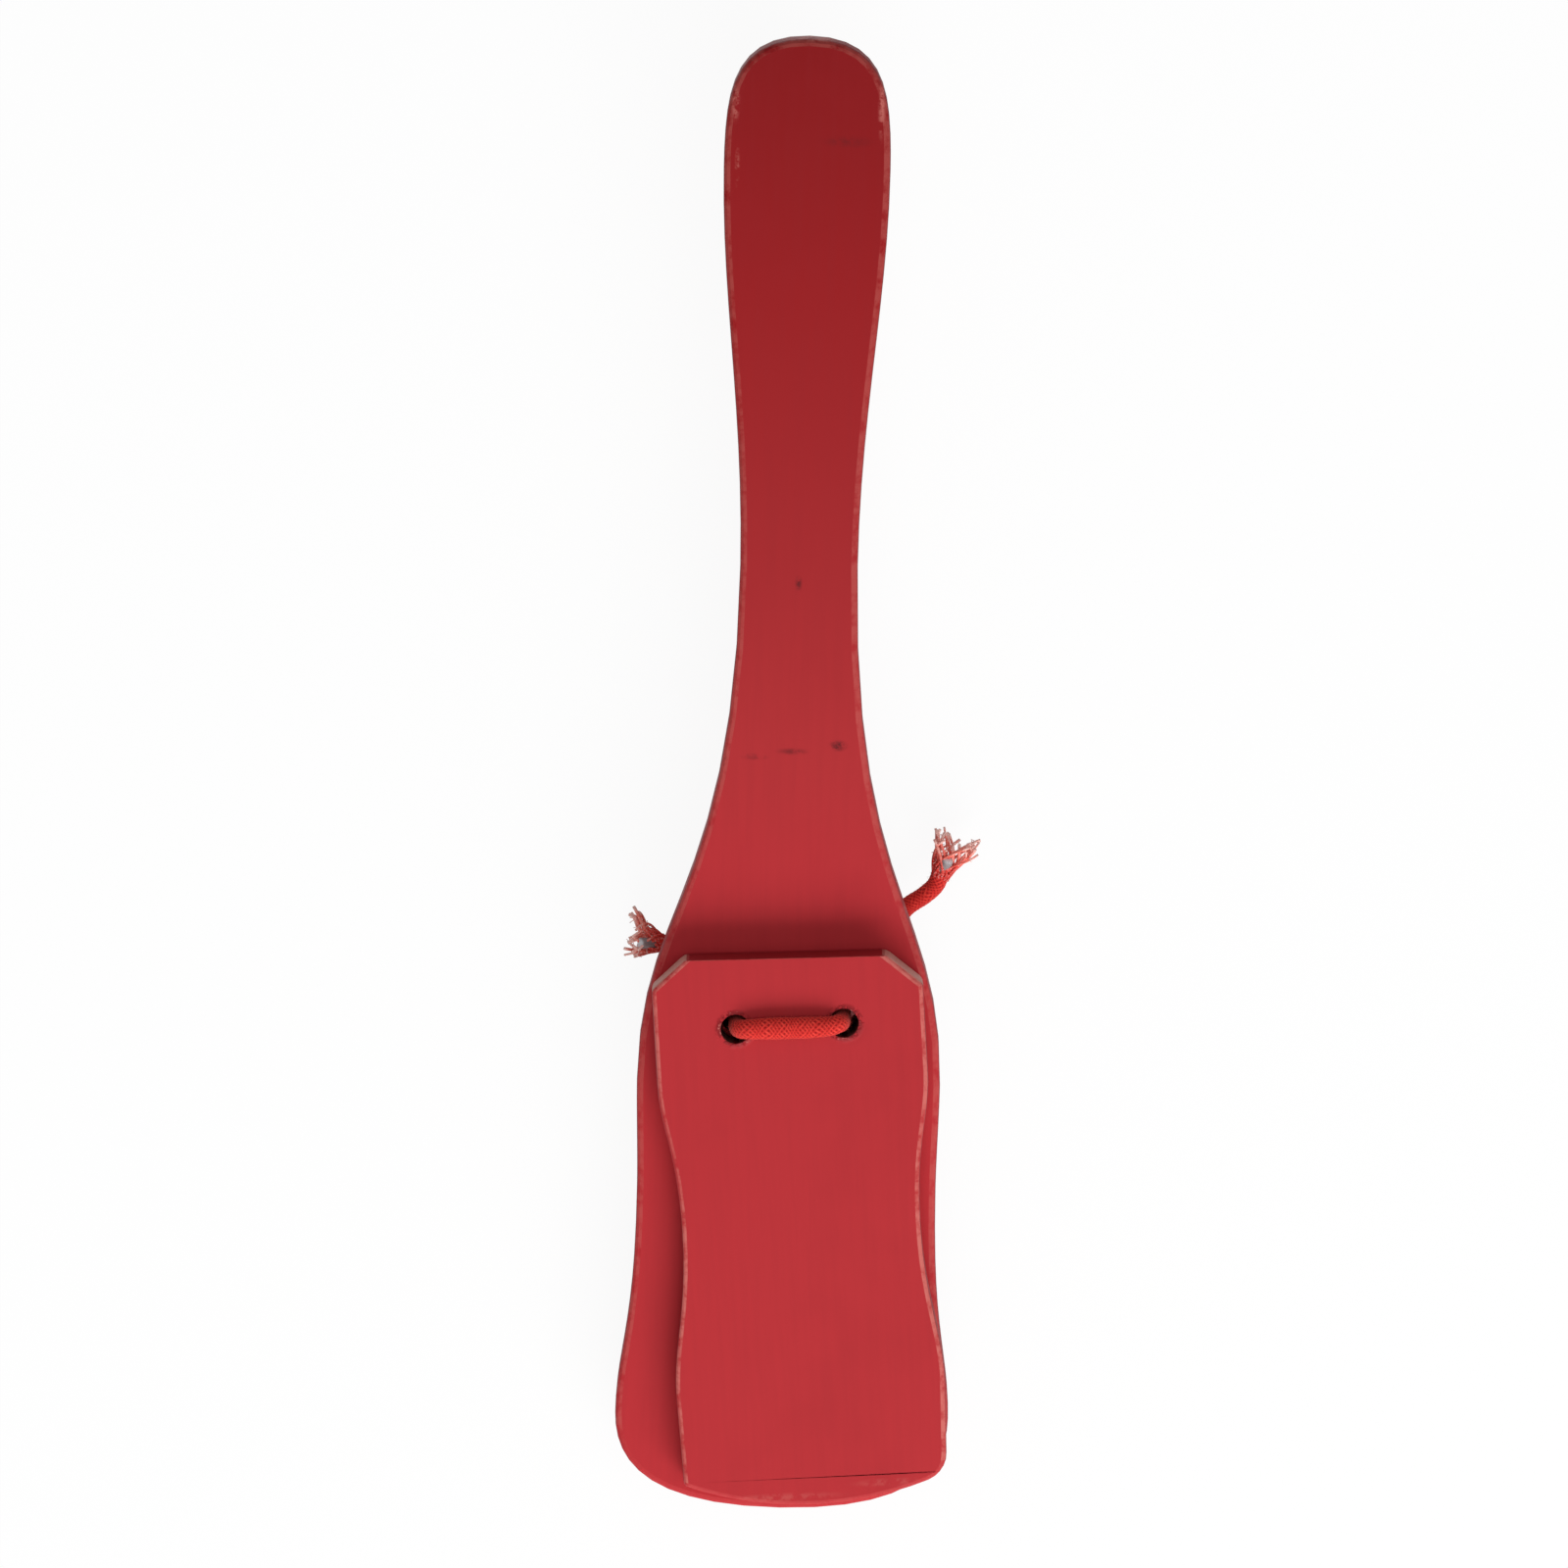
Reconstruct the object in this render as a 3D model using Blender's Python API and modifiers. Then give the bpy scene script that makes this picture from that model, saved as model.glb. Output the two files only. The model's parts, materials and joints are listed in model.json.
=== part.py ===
"""Flapper castanet: a flat wooden paddle with a loose flapper plate tied to each face.

One elastic cord goes through all three boards, makes a short bridge over the front
flapper and is knotted behind the rear flapper, where its two frayed ends come out.
Lengths are in metres. The board frame has its origin midway between the two holes, at
the middle of the board's thickness: X across, Y towards the handle's end, Z out of the
front face. The assembly is then laid down as it rests, on its knot and rear flapper.
"""

import math

import bmesh
import bpy
import numpy as np
from mathutils import Matrix, Vector
from mathutils.geometry import interpolate_bezier

# Paddle: distances along Y are counted from the holes
HANDLE_END_Y = 0.1481
GRIP_Y = 0.1287
GRIP_WIDTH = 0.0248
NECK_Y = 0.0690
NECK_WIDTH = 0.0176
SHOULDER_Y = -0.0099
SHOULDER_WIDTH = 0.0458
WAIST_Y = -0.0260
WAIST_WIDTH = 0.0452
FOOT_Y = -0.0617
FOOT_WIDTH = 0.0506
BOARD_END_Y = -0.0762
BOARD_THICKNESS = 0.0065
BOARD_EDGE_ROUND = 0.0010

# Flapper plates: the same plate in front and behind, worn round at one corner
FLAPPER_TOP_Y = 0.0105
FLAPPER_TOP_WIDTH = 0.0304
FLAPPER_CUT_Y = 0.0060
FLAPPER_TOP_SLOPE = math.radians(-1.8)
FLAPPER_SHOULDER_Y = -0.0080
FLAPPER_SHOULDER_WIDTH = 0.0408
FLAPPER_WAIST_Y = -0.0310
FLAPPER_WAIST_WIDTH = 0.0360
FLAPPER_FOOT_Y = -0.0560
FLAPPER_FOOT_WIDTH = 0.0408
FLAPPER_END_Y = -0.0742
FLAPPER_END_RADIUS = 0.0520
FLAPPER_CORNER_WIDTH = 0.0400
FLAPPER_CORNER_ROUND = 0.0030
FLAPPER_THICKNESS = 0.0055
FLAPPER_EDGE_ROUND = 0.0007

# Holes and cord
HOLE_SPACING = 0.0163
HOLE_DIAMETER = 0.0045
CORD_DIAMETER = 0.0028
CORD_LEAN = 0.0003
BEND_RADIUS = 0.0019
CORE_DIAMETER = 0.0014
SLEEVE_WALL = 0.0004

# Clearances
BOARD_GAP = 0.0003
CORD_GAP = 0.0003

# How far each flapper lies turned about the holes, seen from the front
FRONT_SKEW = math.radians(4.4)
REAR_SKEW = math.radians(-1.2)

# Knot behind the rear flapper: two interlocked loops in two layers
KNOT_Y = 0.0030
KNOT_LAYER = 0.0026
KNOT_REACH = 0.0050
KNOT_LEG_Y = 0.0016
KNOT_CROSS_Y = 0.0030
KNOT_LOOP_Y = 0.0041

# Frayed ends
FRAY_POINTS = 7
LEFT_FRAY_LENGTH = 0.0060
LEFT_FRAY_WIDTH = 0.0070
RIGHT_FRAY_LENGTH = 0.0072
RIGHT_FRAY_WIDTH = 0.0080
CORE_SHOWS = 0.0034

WOOD_RED = (0.43, 0.036, 0.045, 1.0)
CORD_RED = (0.56, 0.040, 0.032, 1.0)
FRAY_RED = (0.60, 0.110, 0.085, 1.0)
CORE_GREY = (0.62, 0.62, 0.60, 1.0)

HALF_BOARD = BOARD_THICKNESS / 2
INNER_Z = HALF_BOARD + BOARD_GAP
OUTER_Z = INNER_Z + FLAPPER_THICKNESS
CORD_RADIUS = CORD_DIAMETER / 2
LEG_X = HOLE_SPACING / 2 - CORD_LEAN
OVERCUT = 0.002
CURVE_STEPS = 12
ARC_STEPS = 14


def clear_scene():
    for item in list(bpy.data.objects):
        bpy.data.objects.remove(item, do_unlink=True)


def new_collection(name, hidden=False):
    collection = bpy.data.collections.new(name)
    bpy.context.scene.collection.children.link(collection)
    collection.hide_render = hidden
    return collection


def material(name, colour, roughness):
    made = bpy.data.materials.new(name)
    made.use_nodes = True
    shader = made.node_tree.nodes["Principled BSDF"]
    shader.inputs["Base Color"].default_value = colour
    shader.inputs["Roughness"].default_value = roughness
    shader.inputs["Metallic"].default_value = 0.0
    made.diffuse_color = colour
    return made


def mesh_of(curve_object):
    """The curve as a mesh with its caps welded; the curve itself is removed."""
    graph = bpy.context.evaluated_depsgraph_get()
    mesh = bpy.data.meshes.new_from_object(curve_object.evaluated_get(graph))
    shape = bmesh.new()
    shape.from_mesh(mesh)
    bmesh.ops.remove_doubles(shape, verts=shape.verts, dist=0.000002)
    bmesh.ops.recalc_face_normals(shape, faces=shape.faces)
    shape.to_mesh(mesh)
    shape.free()
    bpy.data.objects.remove(curve_object, do_unlink=True)
    return mesh


def bezier_path(nodes):
    """Points along the curve through nodes, each a point with its two handles."""
    points = []
    for first, second in zip(nodes, nodes[1:]):
        run = interpolate_bezier(first[0], first[2], second[1], second[0], CURVE_STEPS)
        points += run[:-1]
    return points + [nodes[-1][0]]


def along(x, y, before, after):
    """A node whose curve runs along Y, with the reach of its handles before and after."""
    return Vector((x, y, 0)), Vector((x, y + before, 0)), Vector((x, y - after, 0))


def across(y, reach):
    """A node on the centreline whose curve runs across, along X."""
    return Vector((0, y, 0)), Vector((reach, y, 0)), Vector((reach, y, 0))


def mirrored(half):
    """A closed outline from its right half, which starts and ends on the centreline."""
    left = [Vector((-p.x, p.y, 0)) for p in reversed(half[1:-1])]
    return list(half) + left


def board_outline():
    """The paddle's closed outline, drawn from the handle's end down to the board's end."""
    top, neck_run = HANDLE_END_Y - GRIP_Y, GRIP_Y - NECK_Y
    flare, waist_run = NECK_Y - SHOULDER_Y, SHOULDER_Y - WAIST_Y
    foot_run, end_run = WAIST_Y - FOOT_Y, FOOT_Y - BOARD_END_Y
    nodes = [
        across(HANDLE_END_Y, 0.95 * GRIP_WIDTH / 2),
        along(GRIP_WIDTH / 2, GRIP_Y, 0.54 * top, 0.33 * neck_run),
        along(NECK_WIDTH / 2, NECK_Y, 0.40 * neck_run, 0.645 * flare),
        along(SHOULDER_WIDTH / 2, SHOULDER_Y, 0.332 * flare, 0.33 * waist_run),
        along(WAIST_WIDTH / 2, WAIST_Y, 0.33 * waist_run, 0.66 * foot_run),
        along(FOOT_WIDTH / 2, FOOT_Y, 0.26 * foot_run, 0.49 * end_run),
        across(BOARD_END_Y, 0.84 * FOOT_WIDTH / 2),
    ]
    return mirrored(bezier_path(nodes))


def end_arc_y(x):
    """How far down the flapper's curved lower end lies at x."""
    return FLAPPER_END_Y + FLAPPER_END_RADIUS - math.sqrt(FLAPPER_END_RADIUS**2 - x**2)


def flapper_side():
    """One long side, from the cut corner down to the foot, at positive X."""
    fall = FLAPPER_SHOULDER_Y - FLAPPER_WAIST_Y
    rise = FLAPPER_WAIST_Y - FLAPPER_FOOT_Y
    nodes = [
        along(FLAPPER_SHOULDER_WIDTH / 2, FLAPPER_SHOULDER_Y, 0, 0.30 * fall),
        along(FLAPPER_WAIST_WIDTH / 2, FLAPPER_WAIST_Y, 0.55 * fall, 0.50 * rise),
        along(FLAPPER_FOOT_WIDTH / 2, FLAPPER_FOOT_Y, 0.32 * rise, 0),
    ]
    return bezier_path(nodes)


def flapper_outline():
    """The flapper's closed outline: cut top corners, drawn-in waist, curved lower end."""
    side = flapper_side()
    top_rise = FLAPPER_TOP_WIDTH / 2 * math.tan(FLAPPER_TOP_SLOPE)
    cut_rise = FLAPPER_SHOULDER_WIDTH / 2 * math.tan(FLAPPER_TOP_SLOPE)
    top = Vector((FLAPPER_TOP_WIDTH / 2, FLAPPER_TOP_Y + top_rise, 0))
    cut = Vector((FLAPPER_SHOULDER_WIDTH / 2, FLAPPER_CUT_Y + cut_rise, 0))
    corner_x = FLAPPER_CORNER_WIDTH / 2
    corner_y = end_arc_y(corner_x)
    round_x = corner_x - FLAPPER_CORNER_ROUND
    corner = Vector((corner_x, corner_y, 0))
    above = corner + Vector((0, FLAPPER_CORNER_ROUND, 0))
    beside = Vector((round_x, end_arc_y(round_x), 0))
    worn = interpolate_bezier(above, above.lerp(corner, 0.6), beside.lerp(corner, 0.6), beside, 6)
    end = []
    for step in range(1, ARC_STEPS):
        x = round_x + (-corner_x - round_x) * step / ARC_STEPS
        end.append(Vector((x, end_arc_y(x), 0)))
    right = [top, cut] + side + worn
    left = [Vector((-p.x, p.y, 0)) for p in reversed(side)]
    return right + end + [Vector((-corner_x, corner_y, 0))] + left + [
        Vector((-cut.x, FLAPPER_CUT_Y - cut_rise, 0)),
        Vector((-top.x, FLAPPER_TOP_Y - top_rise, 0)),
    ]


def plate_mesh(name, outline, thickness):
    """A flat plate from a 2D curve, centred on Z = 0."""
    curve = bpy.data.curves.new(name, "CURVE")
    curve.dimensions = "2D"
    curve.fill_mode = "BOTH"
    curve.extrude = thickness / 2
    spline = curve.splines.new("POLY")
    spline.points.add(len(outline) - 1)
    for point, place in zip(spline.points, outline):
        point.co = (place.x, place.y, 0, 1)
    spline.use_cyclic_u = True
    flat = bpy.data.objects.new(name, curve)
    bpy.context.scene.collection.objects.link(flat)
    bpy.context.view_layer.update()
    return mesh_of(flat)


def cutter(name, x, length):
    """A hidden cylinder that drills one hole along Z."""
    bpy.ops.mesh.primitive_cylinder_add(
        vertices=32, radius=HOLE_DIAMETER / 2, depth=length, location=(x, 0, 0)
    )
    drill = bpy.context.active_object
    drill.name = name
    drill.display_type = "WIRE"
    drill.hide_render = True
    for collection in list(drill.users_collection):
        collection.objects.unlink(drill)
    cutters.objects.link(drill)
    return drill


def finish_mesh(obj):
    obj.data.shade_smooth()
    obj.data.set_sharp_from_angle(angle=math.radians(35))


def add_plate(name, outline, thickness, edge_round, look):
    """A plate with rounded edges and the two cord holes."""
    obj = bpy.data.objects.new(name, plate_mesh(name, outline, thickness))
    parts.objects.link(obj)
    obj.data.materials.append(look)
    bevel = obj.modifiers.new("rounded edges", "BEVEL")
    bevel.width = edge_round
    bevel.segments = 3
    bevel.limit_method = "ANGLE"
    bevel.angle_limit = math.radians(40)
    bevel.use_clamp_overlap = False
    for side, sign in (("left", -1), ("right", 1)):
        drill = cutter(f"{name}_hole_{side}", sign * HOLE_SPACING / 2, thickness + OVERCUT)
        drill.parent = obj
        cut = obj.modifiers.new(f"hole {side}", "BOOLEAN")
        cut.operation = "DIFFERENCE"
        cut.solver = "EXACT"
        cut.object = drill
    finish_mesh(obj)
    return obj


def smooth_route(points, spacing):
    """Evenly spaced points on a smooth curve through the route's own points."""
    route = [Vector(p) for p in points]
    padded = [2 * route[0] - route[1]] + route + [2 * route[-1] - route[-2]]
    fine = []
    for a, b, c, d in zip(padded, padded[1:], padded[2:], padded[3:]):
        for step in range(16):
            t = step / 16
            fine.append(
                0.5 * (2 * b + (c - a) * t + (2 * a - 5 * b + 4 * c - d) * t**2
                       + (3 * b - a - 3 * c + d) * t**3)
            )
    fine.append(route[-1])
    along_route = np.cumsum([0] + [(q - p).length for p, q in zip(fine, fine[1:])])
    count = max(2, round(along_route[-1] / spacing) + 1)
    marks = np.linspace(0, along_route[-1], count)
    rows = np.array([tuple(p) for p in fine])
    return [Vector([np.interp(m, along_route, rows[:, k]) for k in range(3)]) for m in marks]


def tube_curve(name, points, radius, resolution=2):
    curve = bpy.data.curves.new(name, "CURVE")
    curve.dimensions = "3D"
    curve.bevel_depth = radius
    curve.bevel_resolution = resolution
    curve.use_fill_caps = True
    curve.twist_mode = "MINIMUM"
    spline = curve.splines.new("POLY")
    spline.points.add(len(points) - 1)
    for point, place in zip(spline.points, points):
        point.co = (*place, 1)
    obj = bpy.data.objects.new(name, curve)
    parts.objects.link(obj)
    return obj


def add_tube(name, points, radius, look):
    """A stretch of cord as a curve with a round bevel and filled caps."""
    obj = tube_curve(name, points, radius)
    obj.data.materials.append(look)
    return obj


def add_bridge(look):
    """The bridge over the front flapper and its two legs in the flapper's holes."""
    level = OUTER_Z + CORD_GAP + CORD_RADIUS
    turn_z = level - BEND_RADIUS
    left = [Vector((-LEG_X, 0, INNER_Z)), Vector((-LEG_X, 0, (INNER_Z + turn_z) / 2))]
    for step in range(7):
        angle = math.pi / 2 * step / 6
        x = -LEG_X + BEND_RADIUS * (1 - math.cos(angle))
        left.append(Vector((x, 0, turn_z + BEND_RADIUS * math.sin(angle))))
    right = [Vector((-p.x, 0, p.z)) for p in reversed(left)]
    return add_tube("cord_front_bridge", left + [Vector((0, 0, level))] + right, CORD_RADIUS, look)


def add_leg(name, side, towards, look):
    """Half of the cord in one of the paddle's holes: towards is 1 in front and -1 behind."""
    inner = towards * CORD_GAP / 2
    outer = towards * HALF_BOARD
    points = [Vector((side * LEG_X, 0, inner)), Vector((side * LEG_X, 0, outer))]
    return add_tube(name, points, CORD_RADIUS, look)


def knot_strand_route(side):
    """One strand of the knot: up out of its hole, round the other strand, and out again."""
    near = -(OUTER_Z + CORD_GAP + CORD_RADIUS)
    far = near - KNOT_LAYER
    middle = (near + far) / 2
    route = [
        (-LEG_X, -KNOT_Y, -INNER_Z),
        (-LEG_X, -KNOT_Y, -OUTER_Z + CORD_RADIUS / 2),
        (-LEG_X + 0.3 * BEND_RADIUS, -0.92 * KNOT_Y, near + 0.1 * CORD_RADIUS),
        (-KNOT_REACH, -0.68 * KNOT_Y, near),
        (-0.60 * KNOT_REACH, -KNOT_LEG_Y, near),
        (0, -KNOT_CROSS_Y, far),
        (0.55 * KNOT_REACH, -KNOT_LOOP_Y, far),
        (0.92 * KNOT_REACH, -0.55 * KNOT_LOOP_Y, far),
        (KNOT_REACH, 0, far),
        (0.92 * KNOT_REACH, 0.55 * KNOT_LOOP_Y, far),
        (0.55 * KNOT_REACH, KNOT_LOOP_Y, middle),
        (0, KNOT_CROSS_Y, near),
        (-0.60 * KNOT_REACH, KNOT_LEG_Y, near),
        (-KNOT_REACH - CORD_RADIUS, KNOT_LEG_Y, near),
    ]
    if side > 0:
        route[5:12] = [(x, -y, z) for x, y, z in reversed(route[5:12])]
        route = [(-x, y, z) for x, y, z in route]
        route[5:12] = [
            (0, -KNOT_CROSS_Y, near),
            (-0.55 * KNOT_REACH, -KNOT_LOOP_Y, middle),
            (-0.92 * KNOT_REACH, -0.55 * KNOT_LOOP_Y, far),
            (-KNOT_REACH, 0, far),
            (-0.92 * KNOT_REACH, 0.55 * KNOT_LOOP_Y, far),
            (-0.55 * KNOT_REACH, KNOT_LOOP_Y, far),
            (0, KNOT_CROSS_Y, far),
        ]
    return [Vector((x, y + KNOT_Y, z)) for x, y, z in route]


def add_knot(look):
    """Both strands of the knot joined into one solid."""
    spacing = 0.45 * CORD_DIAMETER
    bodies = []
    for name, side in (("cord_knot", -1), ("cord_knot_other", 1)):
        tube = tube_curve(name, smooth_route(knot_strand_route(side), spacing), CORD_RADIUS)
        bpy.context.view_layer.update()
        bodies.append(bpy.data.objects.new(name, mesh_of(tube)))
    knot, other = bodies
    parts.objects.link(knot)
    cutters.objects.link(other)
    other.hide_render = True
    other.display_type = "WIRE"
    other.parent = knot
    knot.data.materials.append(look)
    join = knot.modifiers.new("other strand", "BOOLEAN")
    join.operation = "UNION"
    join.solver = "EXACT"
    join.object = other
    finish_mesh(knot)
    return knot


def tail_route(side):
    """The free end's route, from the knot out past the board's edge."""
    near = -(OUTER_Z + CORD_GAP + CORD_RADIUS)
    start_x = KNOT_REACH + CORD_RADIUS + CORD_GAP
    start = Vector((side * start_x, KNOT_Y + KNOT_LEG_Y, near))
    straight = start + Vector((side * CORD_RADIUS, 0, 0))
    if side > 0:
        later = [
            (0.0112, 0.0072, -0.0111),
            (0.0142, 0.0108, -0.0117),
            (0.0170, 0.0147, -0.0122),
            (0.0196, 0.0167, -0.0122),
            (0.0213, 0.0184, -0.0121),
            (0.0221, 0.0203, -0.0120),
        ]
    else:
        later = [
            (-0.0112, 0.0056, -0.0112),
            (-0.0142, 0.0068, -0.0117),
            (-0.0172, 0.0075, -0.0120),
            (-0.0203, 0.0078, -0.0120),
        ]
    return [start, straight] + [Vector(p) for p in later]


def crown(name, start, direction, length, width, look):
    """The opened end of the braided sleeve: a flared shell whose rim runs out in points."""
    rings, sides = 6, 6 * FRAY_POINTS
    bpy.ops.mesh.primitive_cylinder_add(vertices=sides, radius=1, depth=1, end_fill_type="NOTHING")
    obj = bpy.context.active_object
    obj.name = name
    for collection in list(obj.users_collection):
        collection.objects.unlink(obj)
    parts.objects.link(obj)
    shape = bmesh.new()
    shape.from_mesh(obj.data)
    upright = [e for e in shape.edges if abs(e.verts[0].co.z - e.verts[1].co.z) > 0.5]
    bmesh.ops.subdivide_edges(shape, edges=upright, cuts=rings - 1, use_grid_fill=True)
    inner = CORD_RADIUS - SLEEVE_WALL / 2
    for vert in shape.verts:
        share = vert.co.z + 0.5
        angle = math.atan2(vert.co.y, vert.co.x)
        point = 0.5 + 0.5 * math.cos(FRAY_POINTS * angle)
        reach = share * length * (0.62 + 0.38 * point**1.5)
        spread = inner + (width / 2 - inner) * share**1.3 * (0.80 + 0.20 * point)
        vert.co = (spread * math.cos(angle), spread * math.sin(angle), reach)
    shape.to_mesh(obj.data)
    shape.free()
    turn = direction.to_track_quat("Z", "Y").to_matrix().to_4x4()
    obj.data.transform(Matrix.Translation(start) @ turn)
    wall = obj.modifiers.new("sleeve wall", "SOLIDIFY")
    wall.thickness = SLEEVE_WALL
    wall.offset = 0
    obj.data.materials.append(look)
    finish_mesh(obj)
    return obj


def add_core(name, start, direction, look):
    """The rubber core's cut end, standing out of the sleeve."""
    end = start + direction * CORE_SHOWS
    return add_tube(name, [start, (start + end) / 2, end], CORE_DIAMETER / 2, look)


def add_empty(name, parent, location=(0, 0, 0), turn=0.0):
    empty = bpy.data.objects.new(name, None)
    empty.empty_display_size = 0.01
    empty.location = location
    empty.rotation_euler = (0, 0, turn)
    empty.parent = parent
    parts.objects.link(empty)
    return empty


def hang(obj, empty, pivot):
    """Parent obj to an empty on its joint's axis, with obj's origin there too."""
    obj.data.transform(Matrix.Translation(-pivot))
    for child in obj.children:
        child.location = child.location - pivot
    obj.parent = empty


def world_points(obj):
    graph = bpy.context.evaluated_depsgraph_get()
    shown = obj.evaluated_get(graph)
    mesh = shown.to_mesh()
    points = [shown.matrix_world @ v.co for v in mesh.vertices]
    shown.to_mesh_clear()
    return points


def lowest(points, tilt):
    return min(p.y * math.sin(tilt) + p.z * math.cos(tilt) for p in points)


def resting_tilt(knot_points, flapper_points):
    """The tilt at which the knot and the rear flapper's free end touch one level surface."""
    low, high = 0.0, math.radians(30)
    for _ in range(40):
        tilt = (low + high) / 2
        if lowest(knot_points, tilt) < lowest(flapper_points, tilt):
            low = tilt
        else:
            high = tilt
    return (low + high) / 2


def lay_down(assembly, solids, knot, flapper):
    """Rest the assembly on Z = 0, with the middle of its box over the origin."""
    bpy.context.view_layer.update()
    tilt = resting_tilt(world_points(knot), world_points(flapper))
    assembly.rotation_euler = (tilt, 0, 0)
    bpy.context.view_layer.update()
    points = [p for solid in solids for p in world_points(solid)]
    low = Vector([min(p[k] for p in points) for k in range(3)])
    high = Vector([max(p[k] for p in points) for k in range(3)])
    assembly.location = (-(low.x + high.x) / 2, -(low.y + high.y) / 2, -low.z)
    bpy.context.view_layer.update()
    print("resting tilt in degrees", round(math.degrees(tilt), 3))


def build():
    wood = material("painted_wood", WOOD_RED, 0.5)
    front_wood = material("painted_wood_front", WOOD_RED, 0.5)
    rear_wood = material("painted_wood_rear", WOOD_RED, 0.5)
    cord = material("elastic_cord", CORD_RED, 0.8)
    fray = material("frayed_sleeve", FRAY_RED, 0.85)
    rubber = material("rubber_core", CORE_GREY, 0.6)

    assembly = add_empty("flapper_castanet", None)
    paddle = add_plate("paddle", board_outline(), BOARD_THICKNESS, BOARD_EDGE_ROUND, wood)
    paddle.parent = assembly

    outline = flapper_outline()
    pivot = Vector((0, FLAPPER_TOP_Y, INNER_Z))
    middle = Vector((0, 0, INNER_Z + FLAPPER_THICKNESS / 2))
    front_twist = add_empty("front_twist_axis", assembly, turn=FRONT_SKEW)
    front_swing = add_empty("front_swing_axis", front_twist, location=pivot)
    front = add_plate("front_flapper", outline, FLAPPER_THICKNESS, FLAPPER_EDGE_ROUND, front_wood)
    hang(front, front_swing, pivot - middle)
    hang(add_bridge(cord), front_swing, pivot)

    rear_pivot = Vector((0, FLAPPER_TOP_Y, -INNER_Z))
    rear_twist = add_empty("rear_twist_axis", assembly, turn=REAR_SKEW)
    rear_swing = add_empty("rear_swing_axis", rear_twist, location=rear_pivot)
    rear = add_plate("rear_flapper", outline, FLAPPER_THICKNESS, FLAPPER_EDGE_ROUND, rear_wood)
    hang(rear, rear_swing, pivot - middle)
    rear.rotation_euler = (0, math.pi, 0)
    knot = add_knot(cord)
    hang(knot, rear_swing, rear_pivot)

    for side, sign in (("left", -1), ("right", 1)):
        add_leg(f"cord_front_leg_{side}", sign, 1, cord).parent = front_twist
        add_leg(f"cord_rear_leg_{side}", sign, -1, cord).parent = rear_twist

    frays = ((-1, "left", LEFT_FRAY_LENGTH, LEFT_FRAY_WIDTH),
             (1, "right", RIGHT_FRAY_LENGTH, RIGHT_FRAY_WIDTH))
    for sign, side, length, width in frays:
        points = smooth_route(tail_route(sign), 0.7 * CORD_DIAMETER)
        hang(add_tube(f"cord_tail_{side}", points, CORD_RADIUS, cord), rear_swing, rear_pivot)
        out = (points[-1] - points[-2]).normalized()
        start = points[-1] + out * CORD_GAP
        hang(crown(f"cord_fray_{side}", start, out, length, width, fray), rear_swing, rear_pivot)
        hang(add_core(f"rubber_core_{side}", start, out, rubber), rear_swing, rear_pivot)

    held = [o for o in parts.objects if o.type in ("MESH", "CURVE")]
    free = ("cord_tail", "cord_fray", "rubber_core")
    lay_down(assembly, [o for o in held if not o.name.startswith(free)], knot, rear)


clear_scene()
parts = new_collection("flapper castanet")
cutters = new_collection("cutters", hidden=True)
build()
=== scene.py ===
"""Looks of the flapper castanet: painted wood, braided elastic cord, studio and camera."""

import json
import math
import random

import bpy
import numpy as np
from mathutils import Matrix, Vector


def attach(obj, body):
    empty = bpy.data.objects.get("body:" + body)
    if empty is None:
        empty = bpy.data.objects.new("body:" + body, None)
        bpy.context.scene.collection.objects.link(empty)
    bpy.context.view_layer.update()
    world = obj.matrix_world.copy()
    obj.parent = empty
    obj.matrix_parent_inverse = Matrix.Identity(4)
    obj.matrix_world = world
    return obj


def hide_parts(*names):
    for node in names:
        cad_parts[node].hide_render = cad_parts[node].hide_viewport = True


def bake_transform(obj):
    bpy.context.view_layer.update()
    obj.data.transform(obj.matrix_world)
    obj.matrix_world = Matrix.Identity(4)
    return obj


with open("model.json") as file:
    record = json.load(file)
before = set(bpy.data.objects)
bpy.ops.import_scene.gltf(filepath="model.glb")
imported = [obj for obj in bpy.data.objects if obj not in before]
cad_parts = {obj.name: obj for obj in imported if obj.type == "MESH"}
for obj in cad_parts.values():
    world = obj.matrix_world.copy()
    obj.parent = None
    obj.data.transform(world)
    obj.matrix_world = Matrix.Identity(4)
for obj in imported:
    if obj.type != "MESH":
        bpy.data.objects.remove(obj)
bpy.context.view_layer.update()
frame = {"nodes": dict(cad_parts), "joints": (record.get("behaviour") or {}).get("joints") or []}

# Board frame, from the joints: origin midway between the holes, at mid-thickness
JOINTS = {joint["name"]: joint for joint in frame["joints"]}
ORIGIN = Vector(JOINTS["front_twist"]["pos_m"])
NORMAL = Vector(JOINTS["front_twist"]["axis"]).normalized()
FRONT_X = -Vector(JOINTS["front_swing"]["axis"]).normalized()
REAR_X = Vector(JOINTS["rear_swing"]["axis"]).normalized()

# Sizes that the CAD source names too, in metres
INNER_Z = 0.00355
OUTER_Z = 0.00905
HALF_BOARD = 0.00325
LEG_X = 0.00785
HOLE_X = 0.00815
HOLE_RADIUS = 0.00225
CORD_RADIUS = 0.0014
CORD_GAP = 0.0003
KNOT_Y = 0.0030
KNOT_LAYER = 0.0026
KNOT_REACH = 0.0050
KNOT_LEG_Y = 0.0016
KNOT_CROSS_Y = 0.0030
KNOT_LOOP_Y = 0.0041

# Camera, measured from the photograph
CAMERA_TILT = math.radians(10.2)
CAMERA_ROLL = math.radians(1.168)
CAMERA_DISTANCE = 1.5
CAMERA_LENS = 228.8
CAMERA_SENSOR = 36
CAMERA_FAR = 20
TARGET = (-0.00158, 0.03534, 0)


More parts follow.
